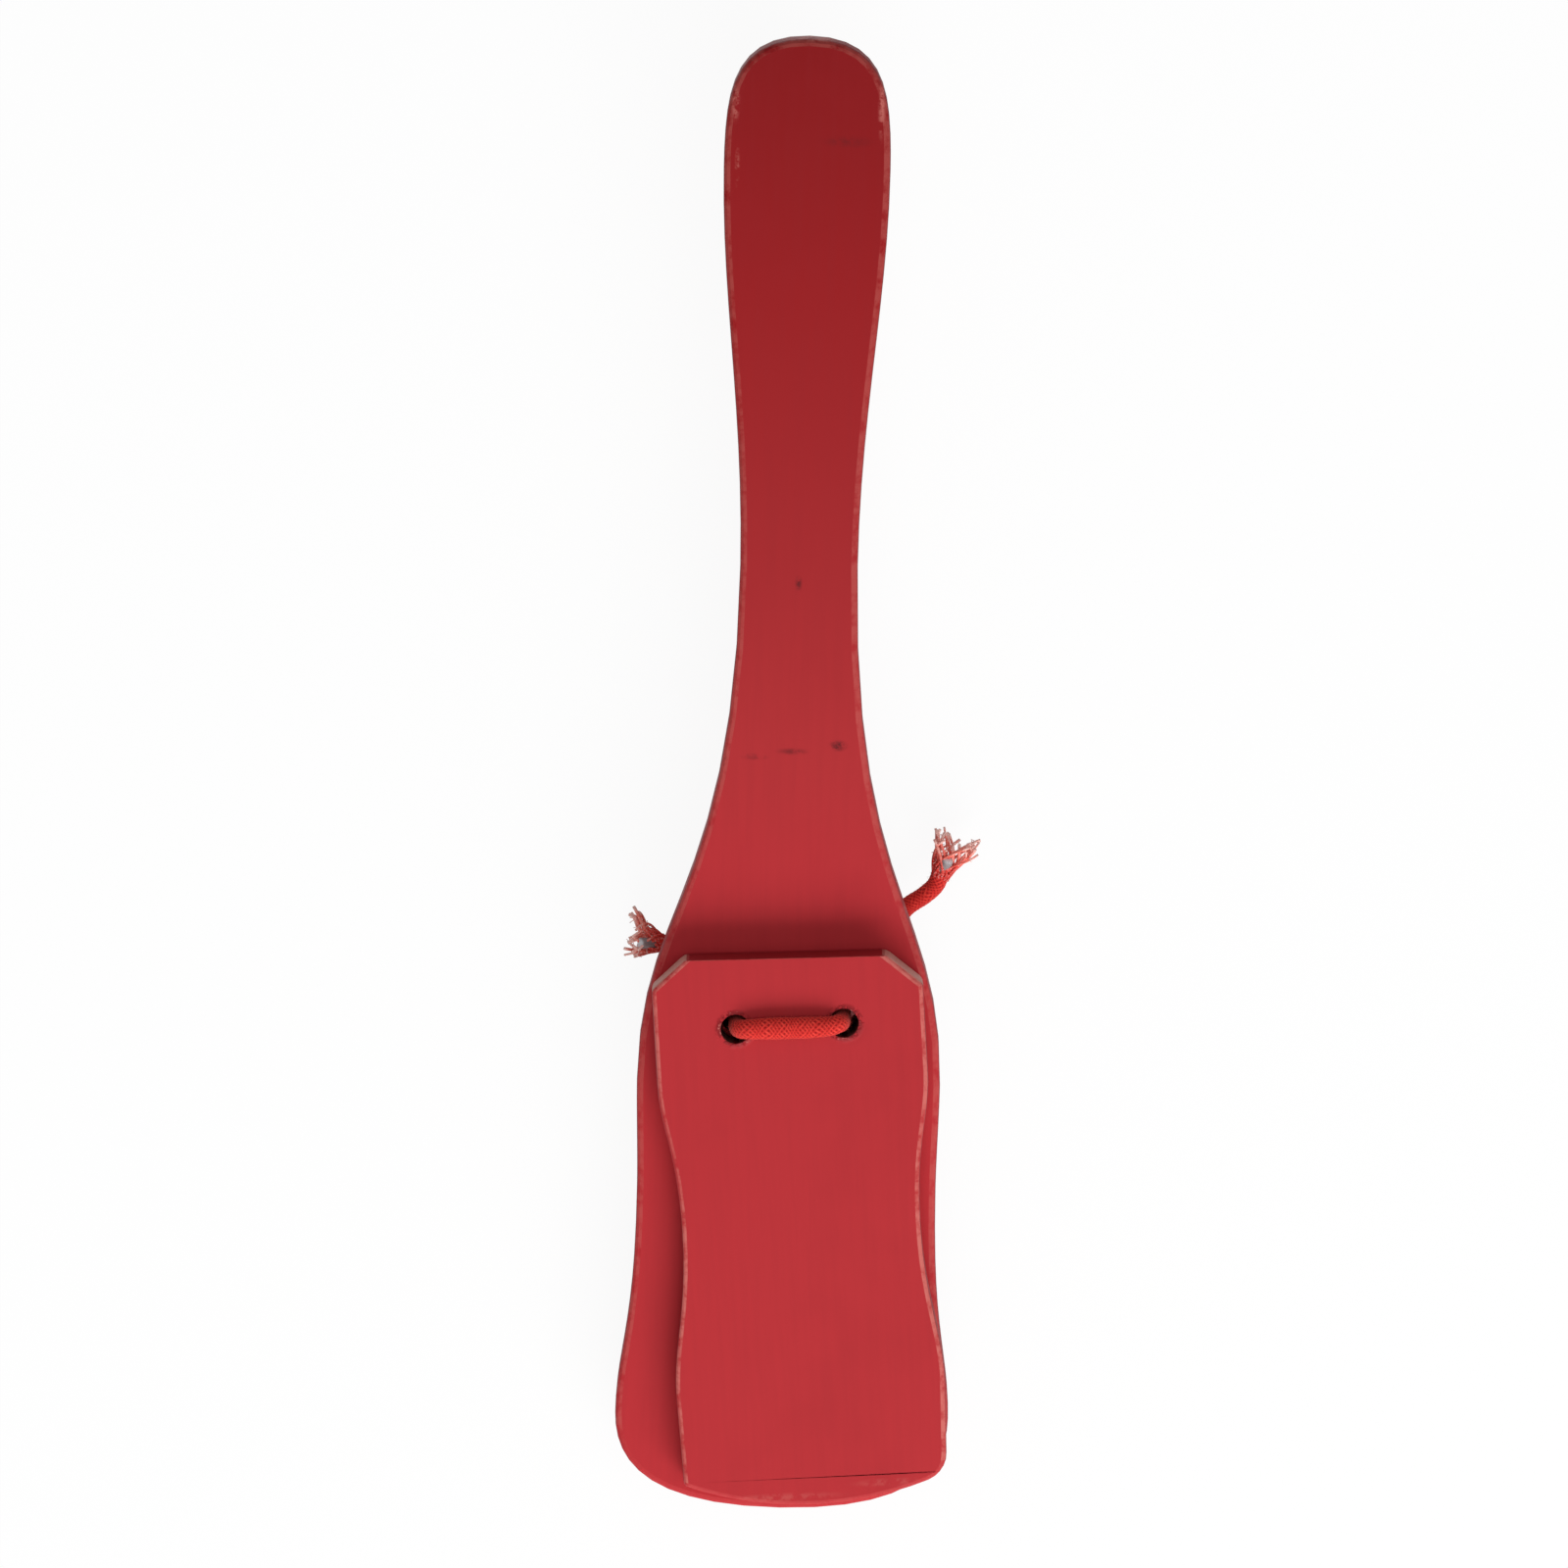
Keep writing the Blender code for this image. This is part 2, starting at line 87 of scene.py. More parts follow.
def axes_from(across_axis):
    """A frame at the board's origin as a matrix, with its X along the given axis."""
    along_axis = NORMAL.cross(across_axis).normalized()
    turn = Matrix((across_axis, along_axis, NORMAL)).transposed().to_4x4()
    return Matrix.Translation(ORIGIN) @ turn


BOARD = axes_from(Vector((1, 0, 0)))
FRONT = axes_from(FRONT_X)
REAR = axes_from(REAR_X)


# Node helpers
class Tree:
    """A new material's node tree, with short calls for the nodes that it uses."""

    def __init__(self, name):
        self.material = bpy.data.materials.new(name)
        self.material.use_nodes = True
        self.nodes = self.material.node_tree.nodes
        self.links = self.material.node_tree.links
        self.shader = self.nodes["Principled BSDF"]
        coordinates = self.nodes.new("ShaderNodeTexCoord")
        self.place = coordinates.outputs["Object"]
        self.normal = coordinates.outputs["Normal"]

    def put(self, socket, value):
        """Links the value if it is a node's output, or else sets it."""
        if isinstance(value, bpy.types.NodeSocket):
            self.links.new(value, socket)
        else:
            socket.default_value = value

    def math(self, operation, *values):
        made = self.nodes.new("ShaderNodeMath")
        made.operation = operation
        for socket, value in zip(made.inputs, values):
            self.put(socket, value)
        return made.outputs[0]

    def vector(self, operation, *values):
        made = self.nodes.new("ShaderNodeVectorMath")
        made.operation = operation
        for socket, value in zip(made.inputs, values):
            self.put(socket, value)
        scalar = operation in ("LENGTH", "DOT_PRODUCT")
        return made.outputs["Value" if scalar else "Vector"]

    def span(self, value, low, high, out_low=0.0, out_high=1.0):
        """The value mapped smoothly from one range to another, and held at its ends."""
        made = self.nodes.new("ShaderNodeMapRange")
        made.interpolation_type = "SMOOTHSTEP"
        self.put(made.inputs["Value"], value)
        made.inputs["From Min"].default_value = low
        made.inputs["From Max"].default_value = high
        made.inputs["To Min"].default_value = out_low
        made.inputs["To Max"].default_value = out_high
        return made.outputs["Result"]

    def noise(self, vector, scale, detail=3.0, roughness=0.55):
        made = self.nodes.new("ShaderNodeTexNoise")
        self.put(made.inputs["Vector"], vector)
        made.inputs["Scale"].default_value = scale
        made.inputs["Detail"].default_value = detail
        made.inputs["Roughness"].default_value = roughness
        return made.outputs["Fac"]

    def ramp(self, value, stops):
        made = self.nodes.new("ShaderNodeValToRGB")
        self.put(made.inputs["Fac"], value)
        elements = made.color_ramp.elements
        while len(elements) < len(stops):
            elements.new(0.5)
        for element, (position, colour) in zip(elements, stops):
            element.position = position
            element.color = (*colour, 1)
        return made.outputs["Color"]

    def mix(self, share, first, second):
        made = self.nodes.new("ShaderNodeMix")
        made.data_type = "RGBA"
        self.put(made.inputs["Factor"], share)
        self.put(made.inputs["A"], first)
        self.put(made.inputs["B"], second)
        return made.outputs["Result"]

    def tint(self, colour, share, strength, shade):
        """The colour with a shade laid over it, as far as share times strength."""
        return self.mix(self.math("MULTIPLY", share, strength), colour, (*shade, 1))

    def bump(self, height, strength, distance, normal=None):
        made = self.nodes.new("ShaderNodeBump")
        made.inputs["Strength"].default_value = strength
        made.inputs["Distance"].default_value = distance
        self.put(made.inputs["Height"], height)
        if normal is not None:
            self.put(made.inputs["Normal"], normal)
        return made.outputs["Normal"]

    def attribute(self, name):
        made = self.nodes.new("ShaderNodeAttribute")
        made.attribute_name = name
        return made.outputs["Fac"]

    def local(self, matrix):
        """The object's coordinates in the given frame, in metres, joined and apart."""
        moved = self.vector("SUBTRACT", self.place, tuple(matrix.translation))
        turn = matrix.to_3x3()
        parts = [self.vector("DOT_PRODUCT", moved, tuple(turn.col[k])) for k in range(3)]
        joined = self.nodes.new("ShaderNodeCombineXYZ")
        for socket, part in zip(joined.inputs, parts):
            self.links.new(part, socket)
        return joined.outputs["Vector"], parts

    def spot(self, vector, centre, radii, soft):
        """1 inside an upright elliptic column at centre, falling to 0 at its radii."""
        moved = self.vector("SUBTRACT", vector, (*centre, 0))
        scaled = self.vector("MULTIPLY", moved, (1 / radii[0], 1 / radii[1], 0))
        return self.span(self.vector("LENGTH", scaled), soft, 1.0, 1.0, 0.0)

    def dress(self, colour, roughness, specular, relief=None):
        """Puts the colour, the gloss and the bump on the shader, and gives the material."""
        self.put(self.shader.inputs["Base Color"], colour)
        self.put(self.shader.inputs["Roughness"], roughness)
        self.put(self.shader.inputs["Specular IOR Level"], specular)
        if relief is not None:
            self.put(self.shader.inputs["Normal"], relief)
        return self.material


def linear(red, green, blue):
    """A colour written in 8-bit sRGB as linear values."""
    out = []
    for level in (red, green, blue):
        share = level / 255
        out.append(share / 12.92 if share <= 0.04045 else ((share + 0.055) / 1.055) ** 2.4)
    return tuple(out)


PAINT = linear(184, 44, 50)
PLATE_PAINT = linear(179, 44, 49)
PAINT_STREAK = linear(140, 34, 40)
PAINT_BLOTCH = linear(158, 38, 44)
# Painted shade for the edge walls, then pale worn paint, which on the edges is also a painted
# highlight
PAINTED_EDGE_SHADE = linear(112, 18, 24)
WORN_AND_HIGHLIGHT = linear(216, 128, 118)
BARE = linear(220, 176, 160)
SMUDGE = linear(82, 24, 28)
HOLE_SHADE = linear(24, 10, 12)

# Painted shade: the paddle's red darker towards the handle's end, where the light falls off
HANDLE_SHADE_START = 0.080
HANDLE_SHADE_LENGTH = 0.23
HANDLE_SHADE_STOPS = [
    (0.0, PAINT),
    (0.43, PAINT),
    (0.52, linear(179, 45, 49)),
    (0.64, linear(167, 38, 42)),
    (0.83, linear(154, 24, 28)),
    (0.99, linear(136, 14, 18)),
]

# Noise scales of the paint, per metre, and the grain's squeeze along the board
GRAIN_SCALE = 900.0
GRAIN_SQUEEZE = 0.05
FINE_SCALE = 2600.0
CLOUD_SCALE = 55.0
WEAR_AND_HIGHLIGHT_SCALE = 420.0
WOBBLE_SCALE = 700.0

# Where a look starts and ends, by how squarely the surface faces a direction: the boards'
# normal for the first three, then the lower end, then a cut corner's own way
CREST_TOP = (0.972, 0.992)
CREST_FOOT = (0.30, 0.75)
WALL_FACING = (0.55, 0.20)
LOWER_END_FACING = (0.08, 0.20)
SAWN_FACING = (0.80, 0.93)

# Hole rims, and the depths below the face between which a hole turns dark with painted shade
RIM_RADII = (HOLE_RADIUS * 1.48, HOLE_RADIUS * 1.40)
INSIDE_RADII = (HOLE_RADIUS * 1.06, HOLE_RADIUS * 1.06)
DARK_FROM = 0.0002
DARK_AT = 0.0010


def painted_wood(name, matrix, holes_z, shades_handle, cut_corners, marks, scratches, edge_wear_and_highlight):
    """Thin red paint on wood: faint grain, dark smudges and pale scratches; worn edges that also
    carry a painted highlight and painted shade, and painted shade in the holes.
    """
    tree = Tree(name)
    place, (_, along, height) = tree.local(matrix)
    stretched = tree.vector("MULTIPLY", place, (1.0, GRAIN_SQUEEZE, 1.0))
    grain = tree.noise(stretched, GRAIN_SCALE, 4.0, 0.6)
    fine = tree.noise(place, FINE_SCALE, 2.0)
    cloud = tree.noise(place, CLOUD_SCALE, 3.0)
    # On the paddle, painted shade: darker towards the handle's end, where the light falls off
    if shades_handle:
        share = tree.math("MULTIPLY_ADD", along, 1 / HANDLE_SHADE_LENGTH, HANDLE_SHADE_START / HANDLE_SHADE_LENGTH)
        colour = tree.ramp(share, HANDLE_SHADE_STOPS)
    else:
        colour = tree.mix(cloud, (*PAINT, 1), (*PLATE_PAINT, 1))
    colour = tree.tint(colour, tree.span(grain, 0.35, 0.72), 0.10, PAINT_STREAK)
    colour = tree.tint(colour, tree.span(cloud, 0.50, 0.75), 0.14, PAINT_BLOTCH)

    # Rounded edges: a pale line, partly worn paint and partly painted highlight, inside a dark
    # line of painted shade, both fainter at the lower end
    facing = tree.vector("DOT_PRODUCT", tree.normal, tuple(NORMAL))
    level = tree.math("ABSOLUTE", facing)
    edge = tree.span(level, *CREST_TOP, 1.0, 0.0)
    wear_and_highlight = tree.span(tree.noise(place, WEAR_AND_HIGHLIGHT_SCALE, 4.0, 0.7), 0.30, 0.60)
    crest = tree.math("MULTIPLY", edge, tree.span(level, *CREST_FOOT))
    wall_shade = tree.span(level, *WALL_FACING)
    lower_end = tree.vector("DOT_PRODUCT", tree.normal, (0.0, -1.0, 0.0))
    kept = tree.span(lower_end, *LOWER_END_FACING, 1.0, 0.12)
    crest = tree.math("MULTIPLY", crest, kept)
    wall_shade = tree.math("MULTIPLY", wall_shade, kept)
    # Painted shade on the edge walls, then the pale crest of worn paint and painted highlight
    colour = tree.tint(colour, wall_shade, 0.55, PAINTED_EDGE_SHADE)
    colour = tree.tint(colour, crest, tree.math("MULTIPLY", wear_and_highlight, edge_wear_and_highlight), WORN_AND_HIGHLIGHT)

    # Sawn faces where the paint is thin
    bare = 0.0
    for direction in cut_corners:
        turned = (matrix.to_3x3() @ Vector(direction)).normalized()
        toward = tree.vector("DOT_PRODUCT", tree.normal, tuple(turned))
        bare = tree.math("MAXIMUM", tree.span(toward, *SAWN_FACING), bare)
    if cut_corners:
        patch = tree.span(fine, 0.25, 0.50, 0.75, 1.0)
        colour = tree.tint(colour, bare, tree.math("MULTIPLY", patch, 0.5), BARE)

    # Dark smudges and pale scratches
    wobble = tree.noise(place, WOBBLE_SCALE, 4.0, 0.7)
    for spots, breaks, shade in ((marks, (0.36, 0.60), SMUDGE), (scratches, (0.42, 0.58), WORN_AND_HIGHLIGHT)):
        for centre, radii, strength in spots:
            spot = tree.spot(place, centre, radii, 0.1)
            broken = tree.math("MULTIPLY", spot, tree.span(wobble, *breaks))
            colour = tree.tint(colour, broken, strength, shade)

    # Holes: raised, chipped paint round the rim, and painted shade inside
    rims = 0.0
    for side in (-1, 1):
        centre = (side * HOLE_X, 0)
        ring = tree.spot(place, centre, RIM_RADII, 0.70)
        inside = tree.spot(place, centre, INSIDE_RADII, 0.90)
        chips = tree.math("MULTIPLY", ring, tree.span(wobble, 0.44, 0.54))
        rims = tree.math("MAXIMUM", chips, rims)
        colour = tree.tint(colour, chips, 0.55, SMUDGE)
        bright = tree.math("MULTIPLY", ring, tree.span(wobble, 0.60, 0.68))
        colour = tree.tint(colour, bright, 0.7, WORN_AND_HIGHLIGHT)
        # Painted shade inside the hole, darker further from the face
        depth = tree.math("ABSOLUTE", height)
        below = tree.span(depth, holes_z - DARK_AT, holes_z - DARK_FROM, 1.0, 0.25)
        colour = tree.tint(colour, inside, below, HOLE_SHADE)

    smooth = tree.span(cloud, 0.30, 0.70, 0.46, 0.60)
    roughness = tree.math("ADD", smooth, tree.math("MULTIPLY", crest, 0.15))
    relief = tree.bump(grain, 0.22, 0.00008)
    relief = tree.bump(fine, 0.12, 0.00004, relief)
    relief = tree.bump(rims, 0.7, 0.00030, relief)
    return tree.dress(colour, roughness, 0.12, relief)


# Cord materials: each cord mesh stores its threads' shade, from 0 to 1, as this attribute
SHADE_NAME = "braid"
# Painted shade: dark red in the hollows between the threads, lighter on their crowns
SLEEVE_SHADE_STOPS = [
    (0.0, linear(104, 10, 12)),
    (0.35, linear(176, 26, 26)),
    (0.75, linear(217, 50, 44)),
    (1.0, linear(236, 78, 62)),
]
YARN_STOPS = [
    (0.0, linear(190, 30, 28)),
    (0.45, linear(222, 66, 56)),
    (0.78, linear(238, 128, 112)),
    (1.0, linear(248, 206, 196)),
]
RUBBER_STOPS = [
    (0.0, linear(120, 108, 110)),
    (0.30, linear(158, 150, 150)),
    (1.0, linear(220, 220, 224)),
]


def cord_material():
    """Braided sleeve: bright threads with painted shade between them, slightly fuzzy."""
    tree = Tree("braided_sleeve")
    fuzz = tree.noise(tree.place, 5200.0, 3.0, 0.7)
    patch = tree.noise(tree.place, 420.0, 2.0)
    colour = tree.ramp(tree.attribute(SHADE_NAME), SLEEVE_SHADE_STOPS)
    colour = tree.tint(colour, tree.span(fuzz, 0.55, 0.75), 0.35, linear(238, 120, 100))
    darker = tree.span(patch, 0.45, 0.75, 0.0, 0.25)
    colour = tree.mix(darker, colour, (*linear(178, 26, 28), 1))
    tree.shader.inputs["Sheen Weight"].default_value = 0.25
    tree.shader.inputs["Sheen Roughness"].default_value = 0.5
    tree.shader.inputs["Sheen Tint"].default_value = (1.0, 0.45, 0.40, 1)
    return tree.dress(colour, 0.85, 0.15, tree.bump(fuzz, 0.5, 0.00010))


def fray_material():
    """Loose yarns: red where they leave the sleeve, pink and nearly white at the tips."""
    tree = Tree("frayed_yarn")
    twist = tree.noise(tree.place, 3800.0, 3.0, 0.7)
    colour = tree.ramp(tree.attribute(SHADE_NAME), YARN_STOPS)
    paler = tree.span(twist, 0.45, 0.75, 0.0, 0.45)
    colour = tree.mix(paler, colour, (*linear(252, 226, 218), 1))
    return tree.dress(colour, 0.9, 0.1, tree.bump(twist, 0.6, 0.00008))


def rubber_material():
    """Cut rubber thread: grey-white, darker round its edge, slightly speckled."""
    tree = Tree("cut_rubber")
    speck = tree.noise(tree.place, 4200.0, 3.0)
    colour = tree.ramp(tree.attribute(SHADE_NAME), RUBBER_STOPS)
    darker = tree.span(speck, 0.4, 0.8, 0.0, 0.3)
    colour = tree.mix(darker, colour, (*linear(120, 112, 116), 1))
    return tree.dress(colour, 0.55, 0.5, tree.bump(speck, 0.3, 0.00005))


# Cord geometry
SPLINE_STEPS = 16


def smooth_route(points, spacing):
    """Evenly spaced points on a smooth curve through the route's own points, and its length."""
    route = [Vector(p) for p in points]
    padded = [2 * route[0] - route[1]] + route + [2 * route[-1] - route[-2]]
    fine = []
    for a, b, c, d in zip(padded, padded[1:], padded[2:], padded[3:]):
        for step in range(SPLINE_STEPS):
            t = step / SPLINE_STEPS
            fine.append(0.5 * (2 * b + (c - a) * t + (2 * a - 5 * b + 4 * c - d) * t**2
                               + (3 * b - a - 3 * c + d) * t**3))
    fine.append(route[-1])
    marks = np.cumsum([0] + [(q - p).length for p, q in zip(fine, fine[1:])])
    count = max(3, round(marks[-1] / spacing) + 1)
    rows = np.array([tuple(p) for p in fine])
    even = np.linspace(0, marks[-1], count)
    return [Vector([np.interp(m, marks, rows[:, k]) for k in range(3)]) for m in even], marks[-1]


def carried_frames(points, first_side):
    """Tangent, side and normal at each point, with the side carried along without twist."""
    frames = []
    side = Vector(first_side)
    for index in range(len(points)):
        before = points[max(0, index - 1)]
        after = points[min(len(points) - 1, index + 1)]
        tangent = (after - before).normalized()
        side = (side - tangent * side.dot(tangent)).normalized()
        frames.append((tangent, side, tangent.cross(side)))
    return frames


def heading(side, other, angle):
    """The direction at an angle round an axis, from the side towards the other."""
    return side * math.cos(angle) + other * math.sin(angle)


def ring_angles(sides):
    return [2 * math.pi * step / sides for step in range(sides)]


def tube_faces(base, last, sides):
    """Quads between the rings of vertices from base on, and a cap at each end."""
    faces = []
    for ring in range(last):
        for step in range(sides):
            a = base + ring * sides + step
            b = base + ring * sides + (step + 1) % sides
            faces.append((a, b, b + sides, a + sides))
    faces.append(tuple(reversed(range(base, base + sides))))
    faces.append(tuple(range(base + last * sides, base + (last + 1) * sides)))
    return faces


def mesh_piece(name, verts, faces, shades, look):
    mesh = bpy.data.meshes.new(name)
    mesh.from_pydata([tuple(v) for v in verts], [], faces)
    mesh.update()
    layer = mesh.attributes.new(SHADE_NAME, "FLOAT", "POINT")
    layer.data.foreach_set("value", np.array(shades, np.float32))
    mesh.shade_smooth()
    mesh.materials.append(look)
    obj = bpy.data.objects.new(name, mesh)
    bpy.context.scene.collection.objects.link(obj)
    return obj


BRAID_STRANDS = 11
BRAID_PITCH = 0.00062
BRAID_DEPTH = 0.00013
FUZZ_LENGTHS = (0.00025, 0.00065)
FUZZ_SINK = 0.0001
FUZZ_HALF_WIDTH = 0.00003
FUZZ_BACK = 0.00005


def braid_height(angle, distance):
    """How high the woven threads stand at a place on the sleeve, from 0 to 1."""
    turn = BRAID_STRANDS * angle
    run = 2 * math.pi * distance / BRAID_PITCH
    one = math.cos((turn + run) / 2) ** 2
    other = math.cos((turn - run) / 2) ** 2
    over = 0.5 + 0.5 * math.sin(turn / 2 + run / 4)
    return max(one * (0.65 + 0.35 * over), other * (1.0 - 0.35 * over))


def add_fuzz(verts, faces, shades, points, frames, half_sizes, count, seed):
    """Adds stray fibres to the sleeve's lists, each a short and thin spike."""
    chance = random.Random(seed)
    last = len(points) - 1
    for _ in range(count):
        ring = chance.randrange(2, last - 2)
        angle = chance.uniform(0, 2 * math.pi)
        tangent, side, normal = frames[ring]
        wide, thick = half_sizes(ring / last)
        out = heading(side, normal, angle)
        across_it = side * (math.cos(angle) * (wide - FUZZ_SINK))
        root = points[ring] + across_it + normal * (math.sin(angle) * (thick - FUZZ_SINK))
        lean = tangent * chance.uniform(-0.8, 0.8) + out.cross(tangent) * chance.uniform(-0.5, 0.5)
        length = chance.uniform(*FUZZ_LENGTHS)
        tip = root + (out + lean).normalized() * length
        half = tangent.cross(out).normalized() * FUZZ_HALF_WIDTH
        base = len(verts)
        verts += [root - half, root + half, root + tangent * FUZZ_BACK, tip]
        shades += [0.8, 0.8, 0.8, 1.0]
        faces += [(base, base + 1, base + 3), (base + 1, base + 2, base + 3),
                  (base + 2, base, base + 3), (base, base + 2, base + 1)]


def braided_tube(name, points, first_side, half_sizes, look, sides, fuzz=0, seed=1):
    """A sleeve along points. half_sizes gives its half width and half thickness at a share."""
    frames = carried_frames(points, first_side)
    verts, shades = [], []
    distance = 0.0
    last = len(points) - 1
    for index, (point, (_, side, normal)) in enumerate(zip(points, frames)):
        if index:
            distance += (point - points[index - 1]).length
        wide, thick = half_sizes(index / last)
        drift = 0.00022 * math.sin(distance / 0.0011)
        drift = drift + 0.00012 * math.sin(distance / 0.00041 + seed)
        sway = 0.05 * math.sin(distance / 0.0007)
        for angle in ring_angles(sides):
            height = braid_height(angle + sway, distance + drift)
            lift = BRAID_DEPTH * (height - 1)
            verts.append(point + side * (math.cos(angle) * (wide + lift))
                         + normal * (math.sin(angle) * (thick + lift)))
            shades.append(height)
    faces = tube_faces(0, last, sides)
    add_fuzz(verts, faces, shades, points, frames, half_sizes, fuzz, seed)
    return mesh_piece(name, verts, faces, shades, look)


def round_size(share):
    return CORD_RADIUS, CORD_RADIUS


# Bridge over the front flapper, wide and flat where the elastic is pulled tight
BRIDGE_WIDE = 0.00172
BRIDGE_THICK = 0.00118
BRIDGE_LEVEL = OUTER_Z + 0.0001 + BRIDGE_THICK
BRIDGE_LOW = OUTER_Z - 0.0012
BRIDGE_SPACING = 0.00012


def bridge_size(share):
    middle = min(1.0, max(0.0, (0.5 - abs(share - 0.5)) * 3.6 - 0.62))
    ease = middle * middle * (3 - 2 * middle)
    uneven = 1 + 0.03 * math.sin(9 * share)
    wide = (CORD_RADIUS + (BRIDGE_WIDE - CORD_RADIUS) * ease) * uneven
    return wide, CORD_RADIUS + (BRIDGE_THICK - CORD_RADIUS) * ease


def bridge_route():
    """Up out of the left hole, over to the right one and down into it."""
    half = [
        (-LEG_X, 0, INNER_Z),
        (-LEG_X, 0, (INNER_Z + BRIDGE_LOW) / 2),
        (-LEG_X + 0.0001, 0, BRIDGE_LOW),
        (-LEG_X + 0.0006, 0, OUTER_Z + 0.0002),
        (-LEG_X + 0.0018, 0.0001, BRIDGE_LEVEL - 0.0002),
        (-LEG_X + 0.0040, 0.0001, BRIDGE_LEVEL),
    ]
    other = [(-x, -y, z) for x, y, z in reversed(half)]
    return [FRONT @ Vector(p) for p in half + [(0, 0, BRIDGE_LEVEL + 0.0001)] + other]


# Stretches of cord in the paddle's holes
STRETCH_STEPS = 36
STRETCH_MARGIN = 0.0001


def stretch_piece(name, matrix, side, towards, look):
    """The cord in one of the paddle's holes, up to just inside the flapper's own cord."""
    ends = ((side * LEG_X, 0, 0), (side * LEG_X, 0, towards * (INNER_Z + STRETCH_MARGIN)))
    start, end = (matrix @ Vector(p) for p in ends)
    points = [start.lerp(end, step / STRETCH_STEPS) for step in range(STRETCH_STEPS + 1)]
    return braided_tube(name, points, matrix.col[0].to_3d(), round_size, look, 40)


# Knot and free ends, in the rear frame
KNOT_BEND = 0.0019
KNOT_EXIT = (0.0081, 0.0046)
LEFT_FREE_END = [
    (-0.0112, 0.0056, -0.0112),
    (-0.0142, 0.0068, -0.0117),
    (-0.0172, 0.0075, -0.0120),
    (-0.0203, 0.0078, -0.0120),
]
RIGHT_FREE_END = [
    (0.0112, 0.0072, -0.0111),
    (0.0142, 0.0108, -0.0117),
    (0.0170, 0.0147, -0.0122),
    (0.0196, 0.0167, -0.0122),
    (0.0213, 0.0184, -0.0121),
    (0.0221, 0.0203, -0.0120),
]
STRAND_SPACING = 0.00013


def strand_route(side):
    """One strand: out of its hole, through the knot and along its free end."""
    near = -(OUTER_Z + CORD_GAP + CORD_RADIUS)
    far = near - KNOT_LAYER
    middle = (near + far) / 2
    route = [
        (-LEG_X, -KNOT_Y, -INNER_Z),
        (-LEG_X, -KNOT_Y, -OUTER_Z + CORD_RADIUS / 2),
        (-LEG_X + 0.3 * KNOT_BEND, -0.92 * KNOT_Y, near + 0.1 * CORD_RADIUS),
        (-KNOT_REACH, -0.68 * KNOT_Y, near),
        (-0.60 * KNOT_REACH, -KNOT_LEG_Y, near),
        (0, -KNOT_CROSS_Y, far),
        (0.55 * KNOT_REACH, -KNOT_LOOP_Y, far),
        (0.92 * KNOT_REACH, -0.55 * KNOT_LOOP_Y, far),
        (KNOT_REACH, 0, far),
        (0.92 * KNOT_REACH, 0.55 * KNOT_LOOP_Y, far),
        (0.55 * KNOT_REACH, KNOT_LOOP_Y, middle),
        (0, KNOT_CROSS_Y, near),
        (-0.60 * KNOT_REACH, KNOT_LEG_Y, near),
        (-KNOT_REACH - CORD_RADIUS, KNOT_LEG_Y, near),
    ]
    free_end = LEFT_FREE_END
    if side > 0:
        # Mirrored, but with a loop that passes the other strand in the opposite order
        route = [(-x, y, z) for x, y, z in route]
        route[5:12] = [
            (0, -KNOT_CROSS_Y, near),
            (-0.55 * KNOT_REACH, -KNOT_LOOP_Y, middle),
            (-0.92 * KNOT_REACH, -0.55 * KNOT_LOOP_Y, far),
            (-KNOT_REACH, 0, far),
            (-0.92 * KNOT_REACH, 0.55 * KNOT_LOOP_Y, far),
            (-0.55 * KNOT_REACH, KNOT_LOOP_Y, far),
            (0, KNOT_CROSS_Y, far),
        ]
        free_end = RIGHT_FREE_END
    moved = [(x, y + KNOT_Y, z) for x, y, z in route]
    leaving = (side * KNOT_EXIT[0], KNOT_EXIT[1], near)
    return [REAR @ Vector(p) for p in moved + [leaving] + free_end]


# Frayed ends
YARN_STEPS = 14
YARN_RADII = (0.00017, 0.00028)
YARN_START = 0.0006
YARN_WAVE = 0.00012
WISPS = 3
WISP_RADIUS = 0.00006
WISP_JUMPS = (0.0004, 0.0011)
CORE_LENGTH = 0.0036
CORE_RADIUS = 0.00085
CORE_LIFT = 0.75
CORE_SIDES = 28


def add_yarn(verts, faces, shades, points, radius, own_shades, sides):
    """Adds one thin loose thread to the lists."""
    frames = carried_frames(points, (0.3, 0.5, 0.81))
    base = len(verts)
    for point, shade, (_, side, normal) in zip(points, own_shades, frames):
        for angle in ring_angles(sides):
            verts.append(point + heading(side, normal, angle) * radius)
            shades.append(shade)
    faces += tube_faces(base, len(points) - 1, sides)


